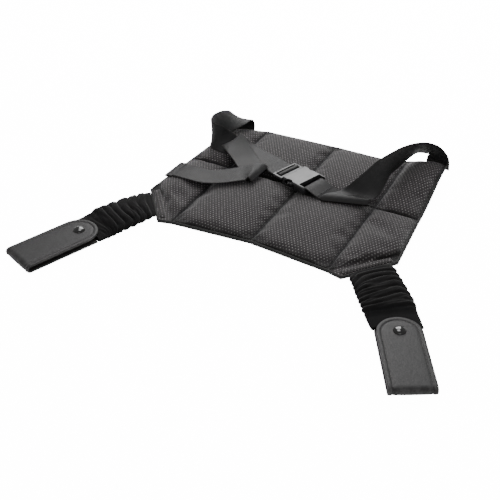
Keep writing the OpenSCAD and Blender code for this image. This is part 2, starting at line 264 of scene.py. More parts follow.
# ---------- materials ----------
spacerLook = {
    "ground": (0.0225, 0.0198, 0.0206, 1), "lit": (0.036, 0.0325, 0.0335, 1), "knit": (0.06, 0.056, 0.057, 1),
    # the darkest colour below is painted shade, laid into the seams and along the tab bands' low edges
    "seamShade": (0.0035, 0.0031, 0.0032, 1), "dot": (0.26, 0.248, 0.248, 1),
    "pitch": 0.0046, "row": 0.0039, "size": 0.14, "drift": 0.0012,
}


def makeSpacer(name):
    material, tree, shader, place = startMaterial(
        name, Sheen_Weight=0.42, Sheen_Roughness=0.42, Specular_IOR_Level=0.2)
    wobble = addNode(tree, "ShaderNodeTexNoise", Vector=place, Scale=45.0, Detail=2.0)
    shift = vectorCalc(tree, "SCALE", wobble.outputs["Color"])
    shift.node.inputs["Scale"].default_value = spacerLook["drift"]
    moved = vectorCalc(tree, "ADD", place, shift)
    dots = useGroup(tree, dotGroup, Place=moved, Pitch=spacerLook["pitch"], Row=spacerLook["row"],
                    Size=spacerLook["size"])
    shade = useGroup(tree, lintGroup, Place=place, Scale=22.0, Lint=0.35)
    knit = useGroup(tree, ribGroup, Place=place, Rib=0.0013, Warp=0.0011)
    ground = mixColor(tree, shade.outputs["Shade"], spacerLook["ground"], spacerLook["lit"])
    ground = mixColor(tree, times(tree, knit.outputs["Tone"], 0.3), ground, spacerLook["knit"])
    uneven = addNode(tree, "ShaderNodeTexNoise", Vector=place, Scale=260.0, Detail=1.0)
    patchy = rangeMap(tree, uneven.outputs["Fac"], 0.3, 0.68, 0.25, 1.0)
    bright = times(tree, dots.outputs["Dots"], patchy)
    color = mixColor(tree, bright, ground, spacerLook["dot"])
    # painted shade: the cloth is darkened toward the seams, where they draw it down
    depth = addNode(tree, "ShaderNodeUVMap", {"uv_map": "depth"}).outputs[0]
    raised = addNode(tree, "ShaderNodeSeparateXYZ", i0=depth).outputs["X"]
    color = mixColor(tree, rangeMap(tree, raised, 0.12, 0.6), spacerLook["seamShade"], color)
    rough = rangeMap(tree, dots.outputs["Dots"], 0.0, 1.0, 0.86, 0.5)
    height = plus(tree, times(tree, dots.outputs["Height"], 0.8),
                  times(tree, knit.outputs["Height"], 0.25))
    finishMaterial(tree, shader, color, rough, height, 0.55, 0.0006)
    return material


def makeWoven(name, dark, light, rib, warp, roughness, strength=0.5, distance=0.0003, laid=True, **constants):
    material, tree, shader, place = startMaterial(name, laid, **constants)
    weave = useGroup(tree, ribGroup, Place=place, Rib=rib, Warp=warp)
    shade = useGroup(tree, lintGroup, Place=place, Scale=26.0, Lint=0.3)
    ground = mixColor(tree, weave.outputs["Tone"], dark, light)
    worn = mixColor(tree, times(tree, shade.outputs["Shade"], 0.55), ground,
                    tuple(0.62*c for c in light[:3]) + (1,))
    color = mixColor(tree, times(tree, shade.outputs["Lint"], 0.25), worn, (0.24, 0.23, 0.22, 1))
    rough = rangeMap(tree, weave.outputs["Tone"], 0.0, 1.0, min(1.0, roughness + 0.12), roughness)
    finishMaterial(tree, shader, color, rough, weave.outputs["Height"], strength, distance)
    return material


def makeVelour(name):
    material, tree, shader, place = startMaterial(
        name, Sheen_Weight=0.34, Sheen_Roughness=0.3, Specular_IOR_Level=0.15)
    shade = useGroup(tree, lintGroup, Place=place, Scale=60.0, Lint=0.5)
    pile = addNode(tree, "ShaderNodeTexNoise", Vector=place, Scale=1500.0, Detail=3.0, Roughness=0.7)
    ground = mixColor(tree, shade.outputs["Shade"], (0.0035, 0.0033, 0.0035, 1), (0.011, 0.0105, 0.011, 1))
    color = mixColor(tree, times(tree, shade.outputs["Lint"], 0.3), ground, (0.05, 0.048, 0.048, 1))
    rough = rangeMap(tree, pile.outputs["Fac"], 0.2, 0.8, 0.8, 1.0)
    height = plus(tree, pile.outputs["Fac"], times(tree, shade.outputs["Shade"], 1.5))
    finishMaterial(tree, shader, color, rough, height, 0.4, 0.0004)
    return material


def makeLeather(name, dark, light, roughness):
    material, tree, shader, place = startMaterial(name, Specular_IOR_Level=0.38, Sheen_Weight=0.08)
    grain = useGroup(tree, grainGroup, Place=place, Scale=850.0)
    shade = useGroup(tree, lintGroup, Place=place, Scale=40.0, Lint=0.2)
    rub = useGroup(tree, rubGroup, Place=place, Start=0.515, Full=0.58)
    ground = mixColor(tree, grain.outputs["Tone"], dark, light)
    varied = mixColor(tree, times(tree, shade.outputs["Shade"], 0.4), ground,
                      tuple(1.35*c for c in light[:3]) + (1,))
    color = mixColor(tree, times(tree, rub.outputs["Mask"], 0.4), varied, (0.15, 0.145, 0.145, 1))
    rough = plus(tree, rangeMap(tree, grain.outputs["Tone"], 0.0, 1.0, roughness + 0.12, roughness),
                 times(tree, shade.outputs["Lint"], 0.2), clamp=True)
    finishMaterial(tree, shader, color, rough, grain.outputs["Height"], 0.35, 0.00035)
    return material


def makePlastic(name, dark, light, roughness, grainScale=1400.0, strength=0.12, **constants):
    material, tree, shader, place = startMaterial(name, False, **constants)
    grain = useGroup(tree, grainGroup, Place=place, Scale=grainScale)
    shade = useGroup(tree, lintGroup, Place=place, Scale=70.0, Lint=0.5)
    rub = useGroup(tree, rubGroup, Place=place, Start=0.52, Full=0.62)
    scratch = addNode(tree, "ShaderNodeTexNoise", Scale=420.0, Detail=2.0,
                      Vector=vectorCalc(tree, "MULTIPLY", place, (1.0, 0.06, 1.0)))
    lines = rangeMap(tree, scratch.outputs["Fac"], 0.62, 0.72)
    ground = mixColor(tree, shade.outputs["Shade"], dark, light)
    color = mixColor(tree, times(tree, rub.outputs["Mask"], 0.35), ground, (0.16, 0.16, 0.165, 1))
    rough = plus(tree, rangeMap(tree, shade.outputs["Shade"], 0.2, 0.8, roughness, roughness + 0.1),
                 times(tree, lines, 0.08), clamp=True)
    finishMaterial(tree, shader, color, rough, grain.outputs["Height"], strength, 0.0002)
    return material


spacer = makeSpacer("spacerMesh")
baseCloth = makeWoven("baseCloth", (0.008, 0.008, 0.008, 1), (0.02, 0.019, 0.019, 1), 0.0009, 0.0009, 0.8,
                      Sheen_Weight=0.15)
bindingTape = makeWoven("bindingTape", (0.006, 0.006, 0.006, 1), (0.016, 0.015, 0.015, 1), 0.0011, 0.0007,
                        0.75, Sheen_Weight=0.1)
webbing = makeWoven("webbing", (0.007, 0.0067, 0.0069, 1), (0.017, 0.0164, 0.0168, 1), 0.0017, 0.0009, 0.46,
                    strength=0.3, Sheen_Weight=0.05, Sheen_Roughness=0.35, Specular_IOR_Level=0.32)
elasticBand = makeWoven("elasticBand", (0.012, 0.012, 0.013, 1), (0.04, 0.039, 0.041, 1), 0.0012, 0.002, 0.7)
thread = makeWoven("thread", (0.006, 0.006, 0.006, 1), (0.03, 0.029, 0.03, 1), 0.0006, 0.0006, 0.55,
                   laid=False, Sheen_Weight=0.2)
velour = makeVelour("velour")
leather = makeLeather("leather", (0.011, 0.0105, 0.0108, 1), (0.022, 0.0209, 0.0214, 1), 0.46)
leatherBack = makeLeather("leatherBack", (0.009, 0.0086, 0.0086, 1), (0.018, 0.0172, 0.0172, 1), 0.6)
snapGloss = makePlastic("snapGloss", (0.003, 0.003, 0.003, 1), (0.006, 0.006, 0.006, 1), 0.07, strength=0.02,
                        Coat_Weight=0.8, Coat_Roughness=0.04)
bucklePlastic = makePlastic("bucklePlastic", (0.016, 0.016, 0.017, 1), (0.026, 0.026, 0.027, 1), 0.27,
                            Specular_IOR_Level=0.6)


def makeFloor():
    material, tree, shader, place = startMaterial(
        "paper", False, Specular_IOR_Level=0.1, Emission_Strength=floor["glow"])
    fibre = addNode(tree, "ShaderNodeTexNoise", Vector=place, Scale=40.0, Detail=3.0)
    white = (floor["white"],)*3 + (1,)
    whiter = (floor["white"] + 0.02,)*3 + (1,)
    color = mixColor(tree, fibre.outputs["Fac"], white, whiter)
    # bright to the eye, while little of its light reaches the object
    seen = addNode(tree, "ShaderNodeLightPath").outputs["Is Camera Ray"]
    dim = (floor["bounce"],)*3 + (1,)
    tree.links.new(mixColor(tree, seen, dim, color), shader.inputs["Emission Color"])
    finishMaterial(tree, shader, color, rangeMap(tree, fibre.outputs["Fac"], 0.0, 1.0, 0.9, 1.0),
                   fibre.outputs["Fac"], 0.05, 0.0002)
    half = floor["half"]*mm
    mesh = bpy.data.meshes.new("floor")
    corners = [(-half, -half, 0), (half, -half, 0), (half, half, 0), (-half, half, 0)]
    mesh.from_pydata(corners, [], [(0, 1, 2, 3)])
    mesh.materials.append(material)
    addObject("floor", mesh)


makeFloor()
print("stage: materials and floor")


# ---------- shared mesh helpers ----------
def smoothStep(t):
    t = min(1.0, max(0.0, t))
    return t*t*(3 - 2*t)


def ripple(place):
    return noise.noise(Vector(place))


def direction(turn, slope=0.0):
    a, e = math.radians(turn), math.radians(slope)
    return Vector((math.cos(a)*math.cos(e), math.sin(a)*math.cos(e), math.sin(e)))


def makePiece(name, points, faces, material, lay=None, sharp=None):
    mesh = bpy.data.meshes.new(name)
    mesh.from_pydata([Vector(p)*mm for p in points], [], faces)
    if lay:
        layer = mesh.uv_layers.new(name="lay")
        for loop in mesh.loops:
            u, v = lay[loop.vertex_index]
            layer.data[loop.index].uv = (u*mm, v*mm)
    work = bmesh.new()
    work.from_mesh(mesh)
    bmesh.ops.recalc_face_normals(work, faces=work.faces)
    work.to_mesh(mesh)
    work.free()
    mesh.shade_smooth()
    if sharp:
        mesh.set_sharp_from_angle(angle=math.radians(sharp))
    mesh.materials.append(material)
    return addObject(name, mesh)


# The nodes a piece stands for, and the body it moves with where it has only one
def settle(obj, nodes, body=None):
    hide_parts(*nodes)
    if body:
        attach(obj, body)


# How far each point stands out of the seams, from 0 to 1, kept for the material, which paints shade where the
# value is low
def markDepth(obj, values):
    layer = obj.data.uv_layers.new(name="depth")
    for loop in obj.data.loops:
        layer.data[loop.index].uv = (values[loop.vertex_index], 0.5)


# Quads between rings that all have the same number of points
def ringFaces(count, sides, loop=False, caps=True):
    faces = []
    for i in range(count if loop else count - 1):
        j = (i + 1) % count
        for k in range(sides):
            m = (k + 1) % sides
            faces.append((i*sides + k, i*sides + m, j*sides + m, j*sides + k))
    if caps and not loop:
        faces.append(tuple(range(sides)))
        faces.append(tuple(range((count - 1)*sides, count*sides)))
    return faces


# A value from a table of [share, value...] rows, eased between them
def easedRow(rows, share):
    for low, high in zip(rows, rows[1:]):
        if share <= high[0]:
            t = smoothStep((share - low[0])/(high[0] - low[0]))
            return [a + (b - a)*t for a, b in zip(low[1:], high[1:])]
    return list(rows[-1][1:])


# Short raised stitches along a path of points
def addStitches(name, paths, body, node, pitch=3.6, length=2.7, radius=0.38, sink=0.1):
    rings = [(-0.5, 0.25), (-0.42, 0.75), (-0.2, 1.0), (0.2, 1.0), (0.42, 0.75), (0.5, 0.25)]
    sides = 6
    points, faces = [], []
    for path in paths:
        lengths = [0.0]
        for a, b in zip(path, path[1:]):
            lengths.append(lengths[-1] + (b - a).length)
        at, span = pitch/2, 0
        while at < lengths[-1]:
            while lengths[span + 1] < at:
                span += 1
            a, b = path[span], path[span + 1]
            along = (b - a).normalized()
            middle = a.lerp(b, (at - lengths[span])/(lengths[span + 1] - lengths[span]))
            side = along.cross(Vector((0, 0, 1))).normalized()
            up = side.cross(along)
            start = len(points)
            for share, size in rings:
                dip = sink*(2*share)**2*4
                for k in range(sides):
                    turn = 2*math.pi*k/sides
                    points.append(middle + along*share*length + side*radius*size*math.cos(turn)
                                  + up*(radius*size*math.sin(turn) - dip))
            faces += [tuple(start + i for i in face) for face in ringFaces(len(rings), sides)]
            at += pitch
    obj = makePiece(name, points, faces, thread)
    settle(obj, [node], body)


# ---------- quilted pad ----------
pad = {
    "seam": 118, "cross": 12, "crown": 12, "lift": 20,
    "rear": [(-173, 124), (-118, 142), (0, 147), (118, 147), (177, 142)],
    "mid": [(-182, 12), (-118, 12), (0, 12), (118, 12), (182, 12)],
    "front": [(-190, -92), (-118, -150), (0, -140), (118, -150), (190, -92)],
    "tabIn": (138, -155), "tabSide": (188.7, -75),
    "rim": 3.8,              # the cover's top along its seams
    "under": 1.6,            # the cover's underside, on the base cloth
    "fullness": 0.9,         # share of the crown that the cloth starts with
    "gather": 0.5,           # how much closer the grid lies along the seams
    "swell": 2.5,            # the most that the inflated cloth may move
    "wrinkle": 0.7,
    "cells": ([16, 30, 30, 16], [38, 34], 8),
    "baseCells": ([8, 12, 12, 8], [14, 12], 3),
    "tabFrom": (125, -100),  # the flat tab corners lie beyond this place
}
sewing = {
    "quality": 6, "mass": 0.25, "tension_stiffness": 15, "compression_stiffness": 15, "shear_stiffness": 8,
    "bending_stiffness": 2.5, "use_pressure": True, "uniform_pressure_force": 4, "shrink_min": -0.012,
    "vertex_group_mass": "sewn",
}
sewingFrames = 20


def cornerLift(x, y):
    return pad["lift"]*smoothStep((x - 80)/95)*smoothStep((y - 20)/118)


def crownAt(u, v):
    return max(0.0, 16*u*(1 - u)*v*(1 - v))**0.4


def mix2(a, b, t):
    return (a[0] + (b[0] - a[0])*t, a[1] + (b[1] - a[1])*t)


def onLine(line, column, share):
    return mix2(line[column], line[column + 1], share)


frontLine = [(-pad["tabSide"][0], pad["tabSide"][1])] + pad["front"][1:4] + [pad["tabSide"]]


# Row 0 is the front row, row 1 the rear one and row -1 the flat tab strips
def padPoint(column, row, u, v):
    if row == 1:
        low, high = onLine(pad["mid"], column, u), onLine(pad["rear"], column, u)
    elif row == 0:
        low, high = onLine(frontLine, column, u), onLine(pad["mid"], column, u)
    else:
        x, y = pad["tabIn"]
        low = mix2(pad["front"][0], (-x, y), u) if column == 0 else mix2((x, y), pad["front"][4], u)
        high = onLine(frontLine, column, u)
    return mix2(low, high, v)


# One grid over the whole pad: points as (x, y, crown, is on a seam or rim) and their quads
def padGrid(columns, rows, tabRows):
    points, faces, known = [], [], {}

    def closer(t):
        return t - pad["gather"]*math.sin(2*math.pi*t)/(2*math.pi)

    def pointAt(i, j, column, row, u, v):
        if (i, j) not in known:
            u, v = (closer(u), closer(v)) if row >= 0 else (closer(u), v)
            x, y = padPoint(column, row, u, v)
            crown = crownAt(u, v) if row >= 0 else 0.0
            known[i, j] = len(points)
            points.append((x, y, crown, row < 0 or min(u, v, 1 - u, 1 - v) < 0.0001))
        return known[i, j]

    base = 0
    for column, wide in enumerate(columns):
        patches = [(0, 0, rows[0]), (1, rows[0], rows[1])]
        if column in (0, 3):
            patches.insert(0, (-1, -tabRows, tabRows))
        for row, start, deep in patches:
            for j in range(deep):
                for i in range(wide):
                    corners = [(i, j), (i + 1, j), (i + 1, j + 1), (i, j + 1)]
                    quad = [pointAt(base + a, start + b, column, row, a/wide, b/deep) for a, b in corners]
                    faces.append(tuple(quad))
        base += wide
    return points, faces


# Top and underside of the grid, joined round the rim
def closeGrid(faces, count):
    used = {}
    for face in faces:
        for a, b in zip(face, face[1:] + face[:1]):
            used[frozenset((a, b))] = (a, b) if frozenset((a, b)) not in used else None
    rim = [pair for pair in used.values() if pair]
    under = [tuple(reversed([i + count for i in face])) for face in faces]
    return faces + under + [(b, a, a + count, b + count) for a, b in rim]


def inflate(obj, pinned, most, ceiling):
    group = obj.vertex_groups.new(name="sewn")
    group.add(pinned, 1.0, "REPLACE")
    cloth = obj.modifiers.new("inflate", "CLOTH")
    for key, value in sewing.items():
        setattr(cloth.settings, key, value)
    cloth.settings.effector_weights.gravity = 0
    cloth.collision_settings.use_collision = False
    cloth.point_cache.frame_start = 1
    cloth.point_cache.frame_end = sewingFrames
    for number in range(1, sewingFrames + 1):
        scene.frame_set(number)
    shape = obj.evaluated_get(bpy.context.evaluated_depsgraph_get())
    moved = [v.co.copy() for v in shape.to_mesh().vertices]
    shape.to_mesh_clear()
    obj.modifiers.remove(cloth)
    obj.vertex_groups.clear()
    scene.frame_set(1)
    for vertex, new in zip(obj.data.vertices, moved):
        change = new - vertex.co
        if change.length > most*mm:
            change = change.normalized()*most*mm
        vertex.co += change
        vertex.co.z = min(vertex.co.z, ceiling[vertex.index]*mm)


def makeCover():
    grid, faces = padGrid(*pad["cells"])
    top, under, ceiling = [], [], []
    for x, y, crown, sewn in grid:
        wrinkle = 0.0 if sewn else pad["wrinkle"]*noise.noise(Vector((x, y, 3.0))*0.03)*crown
        z = cornerLift(x, y) + pad["rim"]
        share = pad["fullness"]
        top.append((x, y, z + share*pad["crown"]*crown + wrinkle - 0.4*(not sewn)))
        ceiling.append(z + pad["crown"]*crown + 0.5)
        under.append((x, y, cornerLift(x, y) + pad["under"]))
    lay = [(x, y) for x, y, crown, sewn in grid]
    count = len(grid)
    obj = makePiece("padCover", top + under, closeGrid(faces, count), spacer, lay + lay)
    tabX, tabY = pad["tabFrom"]
    onTab = [y < tabY and abs(x) > tabX and not crown for x, y, crown, sewn in grid]
    # low values here become painted shade along the seams; the flat tab corners get none
    markDepth(obj, [1.0 if flat else point[2] for flat, point in zip(onTab, grid)]*2)
    pinned = [i for i, p in enumerate(grid) if p[3]] + list(range(count, 2*count))
    inflate(obj, pinned, pad["swell"], ceiling + [1000.0]*count)
    swell = obj.modifiers.new("soften", "SUBSURF")
    swell.levels = swell.render_levels = 1
    foams = [f"foam_{row}_{k}" for row in ("rear", "front") for k in (1, 2, 3, 4)]
    settle(obj, ["mesh_cover"] + foams, "pad")


makeCover()
print("stage: quilted cover")


def makeBase():
    grid, faces = padGrid(*pad["baseCells"])
    lay = [(x, y) for x, y, crown, sewn in grid]
    top, under = ([(x, y, cornerLift(x, y) + thick) for x, y in lay] for thick in (1.5, 0.0))
    obj = makePiece("baseCloth", top + under, closeGrid(faces, len(grid)), baseCloth, lay + lay, sharp=50)
    settle(obj, ["base_fabric"], "pad")


makeBase()

binding = {"section": [(-0.4, 1.2), (0.2, 0.3), (1.4, 0.2), (2.3, 0.9), (2.55, 2.4), (2.3, 4.0), (1.5, 4.9),
                       (0.3, 5.1), (-0.7, 4.7), (-0.9, 3.6)], "step": 5.0}
outline = pad["rear"] + [pad["mid"][4], pad["front"][4], pad["tabIn"]] + pad["front"][3:0:-1]
outline += [(-pad["tabIn"][0], pad["tabIn"][1]), pad["front"][0], pad["mid"][0]]


# The pad's rim as evenly spaced points with their outward directions
def rimPath(step):
    points = []
    for a, b in zip(outline, outline[1:] + outline[:1]):
        far = math.dist(a, b)
        parts = max(2, round(far/step))
        points += [Vector((*mix2(a, b, k/parts), 0)) for k in range(parts)]
    count = len(points)
    result = []
    for i, p in enumerate(points):
        along = (points[(i + 1) % count] - points[i - 1]).normalized()
        result.append((p, Vector((-along.y, along.x, 0))))
    return result


def makeBinding():
    rings, lay, at = [], [], 0.0
    path = rimPath(binding["step"])
    for i, (p, out) in enumerate(path):
        wave = 0.25*noise.noise(p*0.09)
        base = cornerLift(p.x, p.y)
        for k, (push, z) in enumerate(binding["section"]):
            rise = Vector((0, 0, base + z + (wave if z > 4 else 0)))
            rings.append(p + out*(push + (wave if push > 0 else 0)) + rise)
            lay.append((at, k*1.3))
        at += binding["step"]
    faces = ringFaces(len(path), len(binding["section"]), loop=True)
    obj = makePiece("edgeBinding", rings, faces, bindingTape, lay)
    settle(obj, ["edge_binding"], "pad")


makeBinding()


def seamPath(a, b, height, step=6.0):
    parts = max(2, round(math.dist(a, b)/step))
    path = []
    for k in range(parts + 1):
        x, y = mix2(a, b, k/parts)
        path.append(Vector((x, y, cornerLift(x, y) + height)))
    return path


seams = []
for column in (1, 2, 3):
    seams.append((pad["rear"][column], pad["mid"][column]))
    seams.append((pad["mid"][column], pad["front"][column]))
seams += zip(pad["mid"], pad["mid"][1:])
addStitches("seamThreads", [seamPath(a, b, pad["rim"] + 0.35) for a, b in seams], "pad", "seam_threads")
print("stage: base, binding and seams")


# ---------- tabs ----------
band = {
    "long": 74, "from": 2.5, "wide": 9, "low": 3.9, "rise": 1.9, "steps": 38,
    # share of the width from the inner side, share of the rise
    "section": [(0, 0.0), (0.05, 0.55), (0.16, 0.5), (0.24, 0.9), (0.4, 1.0), (0.55, 0.95), (0.72, 0.9),
                (0.82, 0.5), (0.93, 0.62), (1, 0.1), (0.85, -0.1), (0.5, -0.1), (0.15, -0.1)],
    "rows": (4.0, 10.0), "rowHalf": 36, "rowRise": 1.25,
}


# A tab's frame: along its edge, and out from the pad
def tabFrame(side):
    x, y = pad["tabIn"]
    a, b = (pad["front"][0], (-x, y)) if side == "left" else ((x, y), pad["front"][4])
    along = (Vector((*b, 0)) - Vector((*a, 0))).normalized()
    middle = (Vector((*a, 0)) + Vector((*b, 0)))/2
    out = Vector((along.y, -along.x, 0))
    return middle, along, out


def makeBand(side):
    middle, along, out = tabFrame(side)
    section, count = band["section"], band["steps"]
    rings, lay = [], []
    for i in range(count):
        share = i/(count - 1)
        along0 = (share - 0.5)*band["long"]
        taper = min(1.0, 6*min(share, 1 - share) + 0.3)
        for across, rise in section:
            back = -(band["from"] + band["wide"]*(1 - across))
            bumpy = 0.25*ripple((along0*0.3, across*4, 1.5 if side == "left" else 6.5))
            p = middle + along*along0 + out*back
            z = band["low"] + band["rise"]*max(0, rise)*taper + (bumpy if rise > 0.3 else 0)
            rings.append(Vector((p.x, p.y, z)))
            lay.append((along0, back))
    obj = makePiece(f"{side}TabBand", rings, ringFaces(count, len(section)), spacer, lay)
    # the band's low edges and underside get painted shade from these values
    markDepth(obj, [smoothStep(1.4*rise) for across, rise in section]*count)
    settle(obj, [f"{side}_tab_band"], "pad")
    rows = []
    for back in band["rows"]:
        ends = [middle + along*s*band["rowHalf"] - out*back for s in (-1, 1)]
        places = [ends[0].lerp(ends[1], k/12) for k in range(13)]
        rows.append([Vector((p.x, p.y, band["low"] + band["rowRise"])) for p in places])
    addStitches(f"{side}TabStitches", rows, "pad", f"{side}_tab_stitches", pitch=3.4, length=2.6, radius=0.4)


for side in hands:
    makeBand(side)


# ---------- ruched sleeves ----------
arm = {
    "left": {"root": (-166, -126), "tip": (-204, -213), "heading": -117, "flap": -111, "tab": -49.5,
             "folds": 8.6, "seed": 2.0, "cuff": 0.06},
    "right": {"root": (166, -126), "tip": (231, -206), "heading": -50, "flap": -60.5, "tab": 49.5,
              "folds": 10.4, "seed": 7.3, "cuff": 0.2},
    "wide": 65, "thick": 16,
    # share of the length, width, height, underside
    "form": [(0, 0.96, 0.42, 1.6), (0.14, 0.98, 0.8, 0.9), (0.35, 1, 0.98, 0.6), (0.68, 1.02, 0.98, 0.6),
             (0.84, 1.0, 0.58, 0.6), (1, 0.98, 0.5, 0.8)],
    "deep": 4.2, "fine": 1.4, "clear": 0.25, "steps": 110, "round": 56, "bandFrom": 8, "bandShort": 1.5,
    "band": [(-18, 0), (-17.7, 0.45), (-9, 0.6), (0, 0.55), (9, 0.6), (17.7, 0.45), (18, 0), (17.7, -0.45),
             (9, -0.6), (0, -0.55), (-9, -0.6), (-17.7, -0.45)],
}


def armEnds(side):
    own = arm[side]
    start = Vector((*own["root"], 0)) - direction(own["heading"])*0.4
    end = Vector((*own["tip"], 0)) + direction(own["flap"])*13.0
    return start, end


def makeSleeve(side):
    own = arm[side]
    start, end = armEnds(side)
    count, sides = arm["steps"], arm["round"]
    turns = [own["tab"], own["heading"] + 90, own["flap"] + 90]
    rings, lay = [], []

    def addRing(share, shrink, foldShare):
        wide, high, under = easedRow(arm["form"], share)
        middle = start.lerp(end, share)
        half = 0 if share < 0.5 else 1
        across = direction(turns[half] + (turns[half + 1] - turns[half])*(share*2 - half))
        reach, tall = arm["wide"]*wide/2, arm["thick"]*high/2
        for k in range(sides):
            a = 2*math.pi*k/sides
            c, s = math.cos(a), math.sin(a)
            x = math.copysign(abs(c)**0.75, c)*reach*shrink
            z = math.copysign(abs(s)**0.8, s)*tall*shrink
            # the gathers run across, wander, and part or join along their way
            wander = 0.55*ripple((share*2.4, c*0.9 + own["seed"], s*0.5))
            lean = 0.20*c*math.sin(share*5.0 + own["seed"]) + 0.10*s
            phase = own["folds"]*(share + 0.012) + wander*1.5 + lean
            crest = abs(math.sin(math.pi*phase))**0.6
            stray = 1.2*ripple((share*5, c*1.7, own["seed"]))
            second = abs(math.sin(math.pi*(phase*1.93 + stray)))**0.8
            busy = smoothStep(0.5 + 1.4*ripple((share*3.1 + own["seed"], c*1.1, 4.0)))
            envelope = smoothStep(share*9)*smoothStep((1 - own["cuff"] - share)*9)
            lump = ripple((share*6 + own["seed"], c*2.2, s*2.0))
            folds = arm["deep"]*(crest - 0.72)*(1 - 0.45*busy) + arm["fine"]*1.3*(second - 0.7)*busy
            push = foldShare*envelope*(folds + 0.8*lump)
            normal = Vector((c*0.9, 0, s)).normalized()
            x += normal.x*push*0.9
            z += normal.z*push*(1.0 if s > 0 else 0.35)
            p = middle + across*x
            rings.append(Vector((p.x, p.y, max(arm["clear"], under + tall + z))))
            lay.append((share*118, a*28))

    for i in range(count):
        addRing(i/(count - 1), 1.0, 1.0)
    for i in reversed(range(0, count, 2)):      # the cloth's inner face
        addRing(i/(count - 1), 0.9, 0.75)
    obj = makePiece(f"{side}Sleeve", rings, ringFaces(len(rings)//sides, sides, loop=True), velour, lay)
    settle(obj, [f"{side}_sleeve"])
    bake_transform(obj)


def makeElastic(side):
    start, end = armEnds(side)
    heading = (end - start).normalized()
    across = Vector((-heading.y, heading.x, 0))
    first, last = start + heading*arm["bandFrom"], end - heading*arm["bandShort"]
    section = arm["band"]
    rings, lay = [], []
    count = 60
    for i in range(count):
        share = i/(count - 1)
        p = first.lerp(last, share)
        for k, (x, z) in enumerate(section):
            q = p + across*x
            rings.append(Vector((q.x, q.y, 5.2 + z + 0.12*math.sin(share*70))))
            lay.append((x + 40*(k > 6), share*110))
    obj = makePiece(f"{side}Elastic", rings, ringFaces(count, len(section)), elasticBand, lay, sharp=60)
    settle(obj, [f"{side}_elastic"])
    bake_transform(obj)


for side in hands:
    makeSleeve(side)
    makeElastic(side)
print("stage: sleeves and elastics")


# ---------- leather loops ----------
loop = {
    "long": 116, "wide": 56, "leather": 1.5, "low": 0.4, "gap": 5.6, "baseStart": 14,
    "snap": 25, "seam": 5.75,
    # raised border: distance in from the edge and height on the outer face
    "border": [(0.0, -0.75), (0.0, 0.15), (0.25, 0.55), (0.8, 0.75), (2.0, 0.95), (3.6, 1.05), (4.7, 0.8),
               (5.4, 0.3), (6.1, 0.3), (6.9, 0.62), (8.5, 0.78), (13, 0.9), (20, 0.98), (26.5, 1.0)],
    "plain": [(0.15, -0.7), (0.0, -0.45), (0.0, 0.45), (0.3, 0.72), (1.5, 0.75), (8, 0.75), (18, 0.75),
              (26.5, 0.75)],
}
loop["foldMid"] = loop["low"] + 2*loop["leather"] + loop["gap"]/2


# Place along one layer of the loop: 0 at the base's start, round the far fold, on to the round tip
def loopPath(layerRadius):
    straight = loop["long"] - loop["baseStart"]
    turn = math.pi*layerRadius
    total = straight + turn + loop["long"]

    def at(s, height):
        r = layerRadius + height
        if s < straight:
            return loop["baseStart"] + s, loop["foldMid"] - r
        if s < straight + turn:
            a = (s - straight)/layerRadius
            return loop["long"] + math.sin(a)*r, loop["foldMid"] - math.cos(a)*r
        return loop["long"] - (s - straight - turn), loop["foldMid"] + r

    return at, total


def loopPoint(side, x, y, z):
    own = arm[side]
    heading = direction(own["flap"])
    p = Vector((*own["tip"], 0)) + heading*x + Vector((-heading.y, heading.x, 0))*y
    return Vector((p.x, p.y, z))


# One layer of leather: rings of its outline, each a little further in, laid along the loop
def makeLayer(side, name, layerRadius, inner, profile, material, nodes):
    at, total = loopPath(layerRadius)
    half = loop["wide"]/2
    marks = [0.0, 0.6, 1.5] + [x*3.0 for x in range(1, int((total - half)/3.0) + 1)] + [total - half]
    tipSteps = 22

    def ring(inset, height):
        points = []
        r = half - inset
        for s in marks:
            points.append((max(s, inset), -r))
        for k in range(1, tipSteps):
            a = -math.pi/2 + math.pi*k/tipSteps
            points.append((total - half + math.cos(a)*r, math.sin(a)*r))
        for s in reversed(marks):
            points.append((max(s, inset), r))
        return [(s, y, height) for s, y in points]

    sign = -1 if inner else 1
    rings = [ring(26.5, -0.75)] + [ring(inset, height) for inset, height in profile]
    if profile[0][0] == 0.0:
        rings.insert(1, ring(0.3, -0.75))
    sides = len(rings[0])
    points, lay = [], []
    for row in rings:
        for s, y, height in row:
            x, z = at(s, height*sign)
            points.append(loopPoint(side, x, y, z))
            lay.append((y, s))
    faces = ringFaces(len(rings), sides, caps=False)
    for start in (0, (len(rings) - 1)*sides):
        end = start + sides - 1
        faces += [(start + k, start + k + 1, end - 1 - k, end - k) for k in range(sides//2 - 1)]
    obj = makePiece(name, points, faces, material, lay)
    settle(obj, nodes)
    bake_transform(obj)


def coverStitchPath(side):
    r = loop["wide"]/2 - loop["seam"]
    top = loop["foldMid"] + loop["gap"]/2 + 2*loop["leather"] - 0.28
    path = []
    far = loop["long"] - 6
    for k in range(31):
        path.append(loopPoint(side, far + (28 - far)*k/30, -r, top))
    for k in range(1, 24):
        a = -math.pi/2 - math.pi*k/24
        path.append(loopPoint(side, 28 + math.cos(a)*r, math.sin(a)*r, top))
    for k in range(31):
        path.append(loopPoint(side, 28 + (far - 28)*k/30, r, top))
    return [path, [loopPoint(side, far + 1.5, -r + 2*r*k/12, top) for k in range(13)]]


